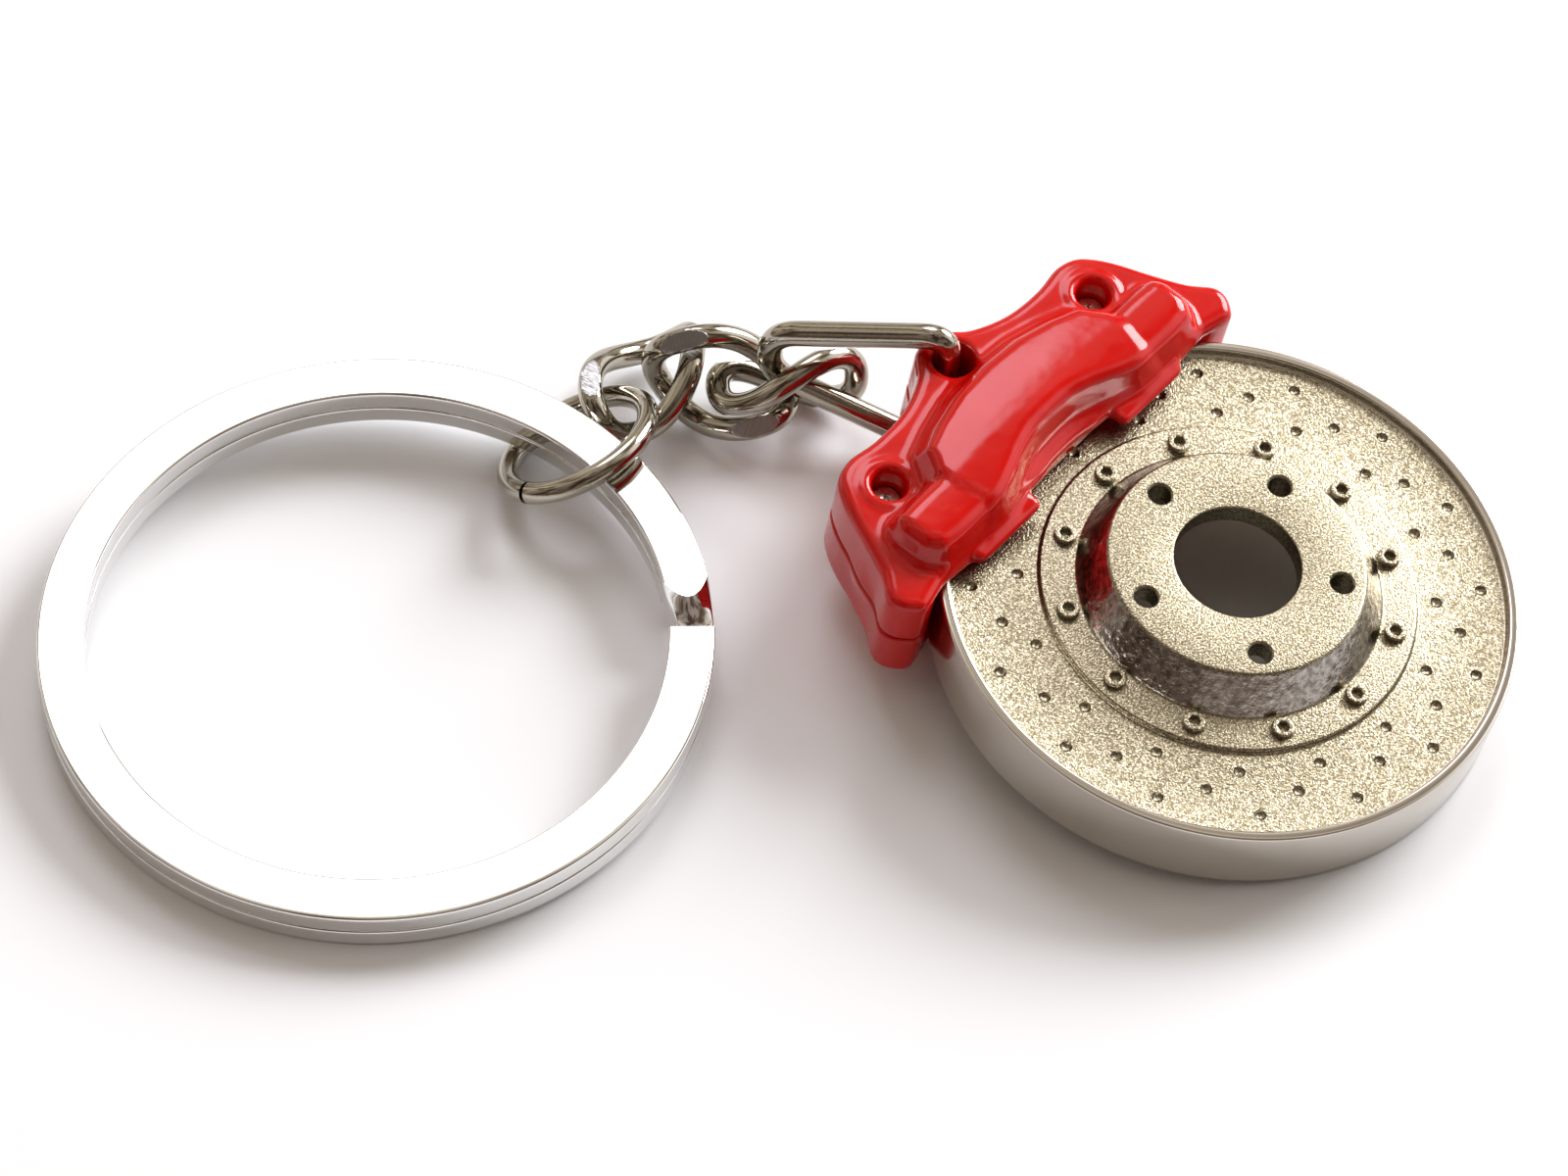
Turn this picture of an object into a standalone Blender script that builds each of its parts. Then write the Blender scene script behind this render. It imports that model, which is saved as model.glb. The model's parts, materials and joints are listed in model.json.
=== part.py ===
"""Key ring ornament: a small die-cast brake disc spinning in a two-piece red brake caliper, joined to a
flat split ring by a long link, three twisted curb links and a jump ring. Lengths below are millimetres."""

import math

import bmesh
import bpy
from mathutils import Euler, Matrix, Vector

MM = 0.001
JOINT_LINE = 0.1

# Brake disc, about its own spin axis. The middle of its thickness is at height 0.
DISC_R = 14.48
DISC_HALF = 2.0
RIM_LIP_W = 0.5
FACE_Z = 1.5
STEP_R = 9.4
STEP_Z = 1.8
HAT_BASE_R = 7.65
HAT_TOP_R = 6.4
HAT_TOP_Z = 3.9
HAT_FLOOR_Z = 2.7
CENTRE_HOLE_R = 3.15
LUG_CIRCLE_R = 5.2
LUG_R = 0.57
LUG_COUNT = 5
LUG_PHASE = 67.5
RIVET_CIRCLE_R = 8.4
RIVET_R = 0.56
RIVET_TOP_Z = 2.15
RIVET_SOCKET_R = 0.26
RIVET_COUNT = 12
RIVET_PHASE = 19.3
DIMPLE_GROUPS = 16
DIMPLE_PHASE = 4.4
DIMPLE_R = 0.31
DIMPLE_DEPTH = 0.28
LATHE_STEPS = 60

# Caliper halves: x runs along the disc's rim, y runs outwards from the disc's centre.
CALIPER_HALF = 3.0
SLOT_R = 14.85
SLOT_Z = 2.3
PAD_Z = 1.75
PAD_OUTER_R = 13.35
BAR_TOP = 4.6
RIDGE_TOP = 4.85
SCREW_X = 8.15
SCREW_Y = 15.3
COUNTERBORE_R = 0.92
COUNTERBORE_FLOOR = 1.2
SCREW_HOLE_R = 0.5
NECK_Y = 17.8
NECK_HOLE_R = 1.1

# Screws.
SCREW_HEAD_R = 0.8
SCREW_HEAD_H = 0.45
SCREW_SHANK_R = 0.42
SCREW_TIP_Z = -1.6

# Split ring: a flat strip wound twice, dropping one level in a short ramp.
RING_IN = 14.2
RING_OUT = 16.5
STRIP_T = 1.1
TURN_PITCH = 1.16
STRIP_CHAMFER = 0.1
STRIP_START = 5.5
RAMP_FROM = 349.0
RAMP_TO = 359.5
STRIP_END = 708.0

# How the pieces lie: the disc and caliper lean on the disc's rim and on the rear ridge.
CALIPER_ANGLE = 144.0
LEAN = 6.26
DISC_X = 41.13
DISC_Y = 5.13
RING_LEAN_TOWARDS = 70.0
RING_LEAN = 2.5

# Middle of the object's base, which becomes the origin.
BASE_X = 19.59
BASE_Y = 3.36

# Chain: twisted oval links with ground flats, a jump ring with a butt gap, and a tapered long link.
WIRE_R = 0.65
LINK_HALF_LENGTH = 3.56
LINK_HALF_WIDTH = 2.28
LINK_TWIST = -48.7
LINK_FLAT_Z = 1.36
LINK_POSES = {
    "chain_link_1": ((11.55, 17.36, 2.44), (174.2, 1.1, 59.4)),
    "chain_link_2": ((15.49, 17.40, 2.69), (-134.8, 11.5, -10.7)),
    "chain_link_3": ((18.89, 17.63, 2.73), (126.6, -2.3, 11.6)),
}
JUMP_WIRE_R = 0.56
JUMP_HALF_LENGTH = 4.11
JUMP_HALF_WIDTH = 3.68
JUMP_POSE = ((8.65, 12.71, 2.49), (148.9, 6.4, 64.6))
JUMP_GAP_AT = 188.0
JUMP_GAP = 5.0
LONG_LINK_POSE = ((26.82, 15.46, 5.33), (0.1, 0.5, 167.4))
LONG_LINK_LENGTH = 9.13
LONG_LINK_END = 1.49
LONG_LINK_ABOVE = 4.64
LONG_LINK_BELOW = 4.25
LONG_LINK_BEND = 1.4


def clear_scene():
    for obj in list(bpy.data.objects):
        bpy.data.objects.remove(obj, do_unlink=True)


def new_collection(name):
    collection = bpy.data.collections.new(name)
    bpy.context.scene.collection.children.link(collection)
    return collection


def plated(name, colour, metallic, roughness):
    material = bpy.data.materials.new(name)
    material.use_nodes = True
    shader = material.node_tree.nodes["Principled BSDF"]
    shader.inputs["Base Color"].default_value = (*colour, 1.0)
    shader.inputs["Metallic"].default_value = metallic
    shader.inputs["Roughness"].default_value = roughness
    return material


def mesh_object(name, collection, points, faces):
    """A mesh object from points in millimetres."""
    mesh = bpy.data.meshes.new(name)
    mesh.from_pydata([Vector(p) * MM for p in points], [], faces)
    work = bmesh.new()
    work.from_mesh(mesh)
    bmesh.ops.recalc_face_normals(work, faces=work.faces)
    work.to_mesh(mesh)
    work.free()
    obj = bpy.data.objects.new(name, mesh)
    collection.objects.link(obj)
    return obj


def polar(radius, degrees):
    angle = math.radians(degrees)
    return radius * math.cos(angle), radius * math.sin(angle)


def lathe(name, collection, profile, steps=LATHE_STEPS):
    """A ring-shaped solid: a closed profile of (radius, height) turned about Z."""
    count = len(profile)
    points = [(*polar(r, 360 * i / steps), z) for i in range(steps) for r, z in profile]
    faces = []
    for i in range(steps):
        for j in range(count):
            here, ahead = i * count, (i + 1) % steps * count
            k = (j + 1) % count
            faces.append((here + j, ahead + j, ahead + k, here + k))
    return mesh_object(name, collection, points, faces)


def prism(name, collection, outline, low, high, top_outline=None):
    """A solid between two outlines of the same number of points."""
    top = top_outline or outline
    count = len(outline)
    points = [(x, y, low) for x, y in outline] + [(x, y, high) for x, y in top]
    faces = [tuple(range(count)), tuple(range(count, 2 * count))]
    for i in range(count):
        k = (i + 1) % count
        faces.append((i, k, count + k, count + i))
    return mesh_object(name, collection, points, faces)


def disc_outline(x, y, radius, sides):
    corners = [polar(radius, 360 * i / sides) for i in range(sides)]
    return [(x + dx, y + dy) for dx, dy in corners]


def join(name, collection, parts):
    """One mesh object out of several that don't touch each other."""
    work = bmesh.new()
    for part in parts:
        work.from_mesh(part.data)
        bpy.data.objects.remove(part, do_unlink=True)
    mesh = bpy.data.meshes.new(name)
    work.to_mesh(mesh)
    work.free()
    obj = bpy.data.objects.new(name, mesh)
    collection.objects.link(obj)
    return obj


def boolean(obj, other, operation):
    modifier = obj.modifiers.new(operation.lower() + " " + other.name, "BOOLEAN")
    modifier.operation = operation
    modifier.solver = "EXACT"
    modifier.object = other
    return modifier


def apply_modifiers(obj):
    graph = bpy.context.evaluated_depsgraph_get()
    mesh = bpy.data.meshes.new_from_object(obj.evaluated_get(graph))
    obj.modifiers.clear()
    obj.data = mesh


def smooth_outline(corners, per_span):
    """A closed Catmull-Rom curve through the corners."""
    count = len(corners)
    outline = []
    for i in range(count):
        a, b, c, d = (Vector(corners[(i + k - 1) % count]) for k in range(4))
        for step in range(per_span):
            t = step / per_span
            outline.append(
                0.5 * ((2 * b) + (c - a) * t + (2 * a - 5 * b + 4 * c - d) * t**2
                       + (3 * b - a - 3 * c + d) * t**3)
            )
    return [tuple(point) for point in outline]


def mirrored(half):
    """A symmetric outline from its right half, listed from the top middle to the bottom middle."""
    return half + [(-x, y) for x, y in reversed(half) if x > 0]


# ---------------------------------------------------------------- the pose of each group


def lean_matrix(towards, degrees):
    """A turn that lifts whatever lies in the given direction."""
    x, y = polar(1, towards)
    return Matrix.Rotation(math.radians(degrees), 4, Vector((y, -x, 0)))


def ornament_pose():
    lean = math.radians(LEAN)
    height = DISC_HALF * math.cos(lean) + DISC_R * math.sin(lean)
    at = Vector((DISC_X, DISC_Y, height)) * MM
    return Matrix.Translation(at) @ lean_matrix(CALIPER_ANGLE, LEAN)


def caliper_pose():
    return ornament_pose() @ Matrix.Rotation(math.radians(CALIPER_ANGLE - 90), 4, "Z")


def ring_pose():
    height = RING_OUT * math.sin(math.radians(RING_LEAN)) * MM
    return Matrix.Translation((0, 0, height)) @ lean_matrix(RING_LEAN_TOWARDS, RING_LEAN)


# ---------------------------------------------------------------- brake disc


def disc_profile():
    """Half section of the disc: hub hole, hat, step, recessed face and raised rim, then the hollow back."""
    lip = DISC_R - RIM_LIP_W
    front = [
        (CENTRE_HOLE_R, HAT_TOP_Z), (HAT_TOP_R - 0.1, HAT_TOP_Z), (HAT_TOP_R + 0.1, HAT_TOP_Z - 0.15),
        (HAT_BASE_R, STEP_Z), (STEP_R, STEP_Z), (STEP_R + 0.1, FACE_Z),
        (lip - 0.15, FACE_Z), (lip, DISC_HALF), (DISC_R - 0.12, DISC_HALF), (DISC_R, DISC_HALF - 0.12),
    ]
    back = [
        (DISC_R, 0.12 - DISC_HALF), (DISC_R - 0.12, -DISC_HALF), (lip, -DISC_HALF), (lip - 0.15, -FACE_Z),
        (STEP_R + 0.1, -FACE_Z), (STEP_R, -STEP_Z), (HAT_TOP_R, -STEP_Z), (HAT_TOP_R, 0.8),
        (HAT_TOP_R - 1.1, HAT_FLOOR_Z), (CENTRE_HOLE_R, HAT_FLOOR_Z),
    ]
    return front + back


def dimple_spots():
    """Drilled spots in curved rows, repeated round the face."""
    row = [(10.45, 0.0), (12.8, 4.0), (11.65, 14.2)]
    for group in range(DIMPLE_GROUPS):
        for radius, angle in row:
            yield polar(radius, DIMPLE_PHASE + 360 * group / DIMPLE_GROUPS + angle)


def brake_disc(parts, cutters):
    disc = lathe("brake_disc", parts, disc_profile())
    pieces = []
    for i in range(RIVET_COUNT):
        x, y = polar(RIVET_CIRCLE_R, RIVET_PHASE + 360 * i / RIVET_COUNT)
        for side in (1, -1):
            low, high = sorted((side * 1.2, side * RIVET_TOP_Z))
            pieces.append(prism("rivet", cutters, disc_outline(x, y, RIVET_R, 10), low, high))
    rivets = join("rivet_collars", cutters, pieces)
    pieces = []
    for i in range(LUG_COUNT):
        x, y = polar(LUG_CIRCLE_R, LUG_PHASE + 360 * i / LUG_COUNT)
        pieces.append(prism("lug", cutters, disc_outline(x, y, LUG_R, 12), 2.0, 5.0))
    for i in range(RIVET_COUNT):
        x, y = polar(RIVET_CIRCLE_R, RIVET_PHASE + 360 * i / RIVET_COUNT)
        pieces.append(prism("socket", cutters, disc_outline(x, y, RIVET_SOCKET_R, 6), 1.85, 2.6))
    for x, y in dimple_spots():
        wide, tip = disc_outline(x, y, DIMPLE_R * 1.2, 6), disc_outline(x, y, DIMPLE_R * 0.7, 6)
        pieces.append(prism("dimple", cutters, tip, FACE_Z - DIMPLE_DEPTH, FACE_Z + 0.1, wide))
        pieces.append(prism("dimple", cutters, wide, -FACE_Z - 0.1, DIMPLE_DEPTH - FACE_Z, tip))
    holes = join("disc_holes", cutters, pieces)
    boolean(disc, rivets, "UNION")
    boolean(disc, holes, "DIFFERENCE")
    return disc


# ---------------------------------------------------------------- caliper


def caliper_outline():
    """Plan of each caliper half: neck at the top, an ear each side, two pad tabs on the inner edge."""
    half = [
        (0.0, 19.65), (0.9, 19.5), (1.5, 18.95), (2.1, 18.45), (3.4, 17.9), (4.8, 17.6), (6.6, 17.55),
        (8.2, 17.75), (9.3, 17.5), (10.0, 16.9), (10.7, 15.8), (11.5, 14.0), (12.3, 12.4), (13.15, 11.3),
        (13.2, 10.5), (12.75, 9.8), (12.2, 9.5), (11.0, 9.75), (9.5, 10.1), (8.5, 10.15), (8.15, 9.7),
        (7.6, 9.35), (5.6, 9.3), (3.9, 9.3), (3.35, 9.65), (3.1, 10.25), (2.2, 10.3), (1.1, 10.45), (0.0, 10.5),
    ]
    return smooth_outline(mirrored(half), 2)


def bar_outline(inset):
    half = [(10.0, 13.9), (10.75, 13.1), (10.6, 11.3), (10.1, 10.35)]
    corners = half + [(-x, y) for x, y in reversed(half)]
    return pull_in(corners, inset, 0.0, 12.0)


def dome_outline(inset):
    half = [(2.2, 16.95), (4.2, 16.5), (5.9, 15.9), (6.9, 15.0), (7.7, 13.9), (7.7, 11.6)]
    corners = half + [(-x, y) for x, y in reversed(half)]
    return pull_in(corners, inset, 0.0, 13.4)


def pull_in(corners, inset, x0, y0):
    """The outline with each corner moved towards a middle point by about the inset."""
    moved = []
    for x, y in corners:
        away = Vector((x - x0, y - y0))
        limit = Vector((math.copysign(min(abs(away.x), inset), away.x),
                        math.copysign(min(abs(away.y), inset), away.y)))
        moved.append((x - limit.x, y - limit.y))
    return moved


def pad_outline():
    """The brake pad block that reaches towards the disc's recessed face."""
    inner = [(-8.0, 10.3), (-3.5, 10.7), (3.5, 10.7), (8.0, 10.3)]
    reach = math.degrees(math.asin(8.0 / PAD_OUTER_R))
    outer = [polar(PAD_OUTER_R, 90 - reach + 2 * reach * i / 8) for i in range(9)]
    return inner + outer


def caliper_half(name, parts, cutters, side):
    """One cast half. side is 1 for the front and -1 for the rear."""

    def flip(low, high):
        return sorted((side * low, side * high))

    def slab(label, outline, low, high, top=None):
        if side > 0:
            return prism(label, cutters, outline, low, high, top)
        return prism(label, cutters, top or outline, -high, -low, outline)

    outline = caliper_outline()
    half = prism(name, parts, outline, *flip(JOINT_LINE / 2, CALIPER_HALF))
    slot = prism(name + "_slot", cutters, disc_outline(0, 0, SLOT_R, 72), *flip(-0.5, SLOT_Z))
    boolean(half, slot, "DIFFERENCE")
    pad = slab(name + "_pad", pad_outline(), PAD_Z, SLOT_Z + 0.3)
    boolean(half, pad, "UNION")
    bar = slab(name + "_bar", bar_outline(0), CALIPER_HALF - 0.2, BAR_TOP, bar_outline(0.8))
    boolean(half, bar, "UNION")
    dome = slab(name + "_dome", dome_outline(0), CALIPER_HALF - 0.2, RIDGE_TOP, dome_outline(1.2))
    boolean(half, dome, "UNION")
    tools = [prism("hole", cutters, disc_outline(0, NECK_Y, NECK_HOLE_R, 20), *flip(-1, 4))]
    for x in (-SCREW_X, SCREW_X):
        depth = 4.0 if side > 0 else 1.9
        tools.append(prism("hole", cutters, disc_outline(x, SCREW_Y, SCREW_HOLE_R, 16), *flip(-1, depth)))
        if side > 0:
            bore = disc_outline(x, SCREW_Y, COUNTERBORE_R, 16)
            tools.append(prism("hole", cutters, bore, COUNTERBORE_FLOOR, 4))
    for tool in tools:
        if tool.name != tools[0].name:
            tool.name = name + "_hole"
        boolean(half, tool, "DIFFERENCE")
    return half


def screw(name, parts, cutters, x):
    """A cross-headed screw seated in the front half's counterbore."""
    seat = COUNTERBORE_FLOOR + 0.03
    top = seat + SCREW_HEAD_H
    profile = [(0.0, SCREW_TIP_Z), (SCREW_SHANK_R * 0.5, SCREW_TIP_Z), (SCREW_SHANK_R, SCREW_TIP_Z + 0.5),
               (SCREW_SHANK_R, seat), (SCREW_HEAD_R, seat), (SCREW_HEAD_R, top - 0.1),
               (SCREW_HEAD_R - 0.1, top), (0.0, top)]
    body = spindle(name, parts, profile, 14)
    for dx, dy in ((0.5, 0.11), (0.11, 0.5)):
        outline = [(-dx, -dy), (dx, -dy), (dx, dy), (-dx, dy)]
        boolean(body, prism(name + "_cross", cutters, outline, top - 0.25, top + 0.2), "DIFFERENCE")
    apply_modifiers(body)
    body.data.transform(Matrix.Translation(Vector((x, SCREW_Y, 0)) * MM))
    return body


def spindle(name, collection, profile, steps):
    """A solid with no hole: a profile whose first and last points lie on the axis."""
    inner = profile[1:-1]
    count = len(inner)
    points = [(*polar(r, 360 * i / steps), z) for i in range(steps) for r, z in inner]
    points += [(0, 0, profile[0][1]), (0, 0, profile[-1][1])]
    low, high = steps * count, steps * count + 1
    faces = []
    for i in range(steps):
        here, ahead = i * count, (i + 1) % steps * count
        faces.append((here, low, ahead))
        faces.append((here + count - 1, ahead + count - 1, high))
        for j in range(count - 1):
            faces.append((here + j, ahead + j, ahead + j + 1, here + j + 1))
    return mesh_object(name, collection, points, faces)


# ---------------------------------------------------------------- split ring


def strip_level(turn):
    """Height of the strip's underside, in pitches, after a turn in degrees."""
    t = min(max((turn - RAMP_FROM) / (RAMP_TO - RAMP_FROM), 0.0), 1.0)
    return 1.0 - t * t * (3.0 - 2.0 * t)


def split_ring(parts):
    turns = [float(step) for step in range(0, int(RAMP_FROM), 5)]
    turns += [RAMP_FROM + (RAMP_TO - RAMP_FROM) * i / 9 for i in range(10)]
    turns += [float(step) for step in range(365, int(STRIP_END), 5)] + [STRIP_END]
    c = STRIP_CHAMFER
    section = [
        (RING_IN + c, 0), (RING_OUT - c, 0), (RING_OUT, c), (RING_OUT, STRIP_T - c),
        (RING_OUT - c, STRIP_T), (RING_IN + c, STRIP_T), (RING_IN, STRIP_T - c), (RING_IN, c),
    ]
    points = []
    for turn in turns:
        rise = TURN_PITCH * strip_level(turn)
        points += [(*polar(r, STRIP_START - turn), z + rise) for r, z in section]
    count = len(section)
    last = (len(turns) - 1) * count
    faces = [tuple(range(count)), tuple(range(last, last + count))]
    for i in range(len(turns) - 1):
        for j in range(count):
            k = (j + 1) % count
            faces.append((i * count + j, i * count + k, (i + 1) * count + k, (i + 1) * count + j))
    return mesh_object("split_ring", parts, points, faces)


# ---------------------------------------------------------------- wires


def wire(name, parts, points, radius, cyclic, resolution=2):
    """A round wire along points in millimetres, as a mesh."""
    curve = bpy.data.curves.new(name, "CURVE")
    curve.dimensions = "3D"
    curve.bevel_depth = radius * MM
    curve.bevel_resolution = resolution
    curve.use_fill_caps = True
    spline = curve.splines.new("POLY")
    spline.points.add(len(points) - 1)
    for point, at in zip(spline.points, points):
        point.co = (*(Vector(at) * MM), 1.0)
    spline.use_cyclic_u = cyclic
    source = bpy.data.objects.new(name + "_path", curve)
    bpy.context.scene.collection.objects.link(source)
    bpy.context.view_layer.update()
    mesh = bpy.data.meshes.new_from_object(source.evaluated_get(bpy.context.evaluated_depsgraph_get()))
    bpy.data.objects.remove(source, do_unlink=True)
    work = bmesh.new()
    work.from_mesh(mesh)
    bmesh.ops.remove_doubles(work, verts=work.verts, dist=1e-7)
    bmesh.ops.recalc_face_normals(work, faces=work.faces)
    work.to_mesh(mesh)
    work.free()
    obj = bpy.data.objects.new(name, mesh)
    parts.objects.link(obj)
    return obj


def pose(at, turn):
    turned = Euler([math.radians(angle) for angle in turn], "XYZ").to_matrix().to_4x4()
    return Matrix.Translation(Vector(at) * MM) @ turned


def link_path(count=40):
    """An oval of wire, twisted about its long axis."""
    points = []
    for i in range(count):
        angle = 2 * math.pi * i / count
        along, across = math.cos(angle), math.sin(angle)
        across = math.copysign(abs(across) ** 0.8, across) * LINK_HALF_WIDTH
        twist = math.radians(LINK_TWIST) * along
        points.append((LINK_HALF_LENGTH * along, across * math.cos(twist), across * math.sin(twist)))
    return points


def chain_link(name, parts):
    link = wire(name, parts, link_path(), WIRE_R, True)
    for vertex in link.data.vertices:
        vertex.co.z = min(max(vertex.co.z, -LINK_FLAT_Z * MM), LINK_FLAT_Z * MM)
    link.matrix_world = pose(*LINK_POSES[name])
    return link


def jump_ring(parts):
    points = []
    for i in range(41):
        angle = math.radians(JUMP_GAP_AT + JUMP_GAP / 2 + (360 - JUMP_GAP) * i / 40)
        points.append((JUMP_HALF_LENGTH * math.cos(angle), JUMP_HALF_WIDTH * math.sin(angle), 0))
    ring = wire("jump_ring", parts, points, JUMP_WIRE_R, False)
    ring.matrix_world = pose(*JUMP_POSE)
    return ring


def rounded_loop(corners, bend, steps=7):
    """A closed path with each corner rounded off."""
    points = []
    count = len(corners)
    for i in range(count):
        corner = Vector(corners[i])
        before, after = Vector(corners[i - 1]) - corner, Vector(corners[(i + 1) % count]) - corner
        start = corner + before.normalized() * min(bend, before.length * 0.49)
        end = corner + after.normalized() * min(bend, after.length * 0.49)
        for step in range(steps):
            t = step / (steps - 1)
            points.append((1 - t) ** 2 * start + 2 * t * (1 - t) * corner + t * t * end)
    return points


def long_link(parts):
    far, end = LONG_LINK_LENGTH, LONG_LINK_END
    corners = [(0, 0, LONG_LINK_ABOVE), (0, 0, -LONG_LINK_BELOW), (far, 0, -end), (far, 0, end)]
    link = wire("long_link", parts, rounded_loop(corners, LONG_LINK_BEND), WIRE_R, True)
    link.matrix_world = pose(*LONG_LINK_POSE)
    return link


# ---------------------------------------------------------------- assembly


def main():
    clear_scene()
    parts = new_collection("brake_keyring")
    cutters = new_collection("cutters")
    nickel = plated("nickel", (0.72, 0.70, 0.65), 1.0, 0.3)
    chrome = plated("chrome", (0.80, 0.80, 0.80), 1.0, 0.12)
    steel = plated("steel", (0.62, 0.61, 0.58), 1.0, 0.2)
    zinc = plated("zinc", (0.66, 0.64, 0.60), 1.0, 0.35)
    red = plated("red_paint", (0.72, 0.03, 0.02), 0.0, 0.25)

    disc = brake_disc(parts, cutters)
    halves = [caliper_half("caliper_front", parts, cutters, 1),
              caliper_half("caliper_rear", parts, cutters, -1)]
    screws = [screw("screw_left", parts, cutters, -SCREW_X), screw("screw_right", parts, cutters, SCREW_X)]
    for obj in [disc] + halves:
        apply_modifiers(obj)
    ring = split_ring(parts)
    disc.matrix_world = ornament_pose()
    for obj in halves + screws:
        obj.matrix_world = caliper_pose()
    ring.matrix_world = ring_pose()
    wires = [chain_link(name, parts) for name in LINK_POSES] + [jump_ring(parts), long_link(parts)]
    looks = {disc: nickel, ring: chrome, halves[0]: red, halves[1]: red, screws[0]: zinc, screws[1]: zinc}
    looks.update({obj: steel for obj in wires})
    for obj, material in looks.items():
        obj.data.materials.clear()
        obj.data.materials.append(material)
    for obj in parts.objects:
        obj.matrix_world = Matrix.Translation(Vector((-BASE_X, -BASE_Y, 0)) * MM) @ obj.matrix_world
    for obj in cutters.objects:
        obj.hide_render = True
        obj.display_type = "WIRE"
    cutters.hide_render = True


main()
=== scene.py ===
"""Looks of the brake key ring: a plated brake disc that spins in a red caliper, a twisted link chain
and a flat split ring. Shapes are worked out in millimetres, in the same local frames as the CAD solids."""

import json
import math

import bmesh
import bpy
import numpy as np
from mathutils import Euler, Matrix, Vector

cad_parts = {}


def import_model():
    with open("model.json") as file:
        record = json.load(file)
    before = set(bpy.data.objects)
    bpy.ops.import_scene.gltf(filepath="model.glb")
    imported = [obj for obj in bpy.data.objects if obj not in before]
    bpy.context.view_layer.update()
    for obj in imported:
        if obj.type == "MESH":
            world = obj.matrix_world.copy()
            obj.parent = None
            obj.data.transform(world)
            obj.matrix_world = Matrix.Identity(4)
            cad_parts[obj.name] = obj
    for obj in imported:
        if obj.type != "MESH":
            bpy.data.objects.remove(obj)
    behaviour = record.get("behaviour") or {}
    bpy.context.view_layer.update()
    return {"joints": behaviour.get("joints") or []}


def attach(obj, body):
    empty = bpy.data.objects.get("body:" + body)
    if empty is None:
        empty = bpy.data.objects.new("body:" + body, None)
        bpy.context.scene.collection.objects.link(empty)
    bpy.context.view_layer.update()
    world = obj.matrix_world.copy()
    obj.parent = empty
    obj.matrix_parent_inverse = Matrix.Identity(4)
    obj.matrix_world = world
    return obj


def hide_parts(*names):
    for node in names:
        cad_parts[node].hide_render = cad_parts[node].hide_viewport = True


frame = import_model()

MM = 0.001

# Brake disc, about its spin axis, from the middle of its thickness.
DISC_R = 14.48
DISC_HALF = 2.0
RIM_LIP_W = 0.5
FACE_Z = 1.5
STEP_R = 9.4
STEP_Z = 1.8
HAT_BASE_R = 7.65
HAT_TOP_R = 6.4
HAT_TOP_Z = 3.9
HAT_FLOOR_Z = 2.7
CENTRE_HOLE_R = 3.15
LUG_CIRCLE_R = 5.2
LUG_R = 0.57
LUG_COUNT = 5
LUG_PHASE = 67.5
RIVET_CIRCLE_R = 8.4
RIVET_R = 0.56
RIVET_TOP_Z = 2.13
RIVET_SOCKET_R = 0.26
RIVET_COUNT = 12
RIVET_PHASE = 19.3
DIMPLE_GROUPS = 16
DIMPLE_PHASE = 4.4
DIMPLE_R = 0.31
DIMPLE_DEPTH = 0.2
# Each group's dimples, as radius and degrees from the group's start.
DIMPLE_GROUP = [(10.45, 0.0), (12.8, 4.0), (11.65, 14.2)]
DISC_STEPS = 288

# Caliper halves: x along the disc's rim, y outwards from the disc's centre.
CALIPER_ANGLE = 144.0
PARTING_GAP = 0.1
PLATE_TOP = 3.0
SLOT_R = 14.85
SLOT_Z = 2.3
PAD_Z = 1.75
PAD_OUTER_R = 13.35
PAD_INNER_Y = 10.5
PAD_HALF_WIDTH = 8.0
BAR_TOP = 4.6
BAR_CROWN = 0.03
BAR_CROWN_Y = 12.0
RIDGE_TOP = 4.85
RIDGE_CROWN = (0.004, 0.045)
RIDGE_CROWN_Y = 12.6
SCREW_X = 8.15
SCREW_Y = 15.3
COUNTERBORE_R = 0.86
COUNTERBORE_FLOOR = 1.2
SCREW_HOLE_R = 0.5
SCREW_HOLE_DEPTH = 1.9
NECK_Y = 17.8
NECK_HOLE_R = 1.1
PLATE_EDGE = 0.65
TAB_DROP = 0.28
TAB_EDGE = 0.45
WALL_SLOPE = (0.93, 0.36)
DOME_SLOPE = (0.86, 0.5)
BAR_EDGE = 0.6
DOME_EDGE = 0.35
RIDGE_FILLET = 0.5
LIP_RADIUS = 0.24
LIP_OUT = 0.38
LIP_SINK = 0.2
LIP_FILLET = 0.35
HOLE_EDGE = 0.3
SLOT_EDGE = 0.15
PARTING_EDGE = 0.25
CASTING_CELL = 0.13
SCREW_HEAD_R = 0.74
SCREW_HEAD_H = 0.6
SCREW_SHANK_R = 0.42
SCREW_TIP_Z = -1.6

# Split ring: a flat strip wound twice.
RING_IN = 14.2
RING_OUT = 16.5
STRIP_T = 1.1
STRIP_EDGE = 0.16
STRIP_SPACING = 0.14
TURN_PITCH = 1.16
STRIP_START = 5.5
RAMP_FROM = 349.0
RAMP_TO = 359.5
TONGUE = 4.3
NECK_TURN = 356.0
NECK_SPREAD = 3.4
NECK_PINCH = 0.45
STRIP_END = 708.0
RING_LEAN_TOWARDS = 70.0
RING_LEAN = 2.5

# Chain, in the frame centred under the split ring.
BASE = Vector((19.59, 3.36, 0.0))
WIRE_SIDES = 36
WIRE_R = 0.65
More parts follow.
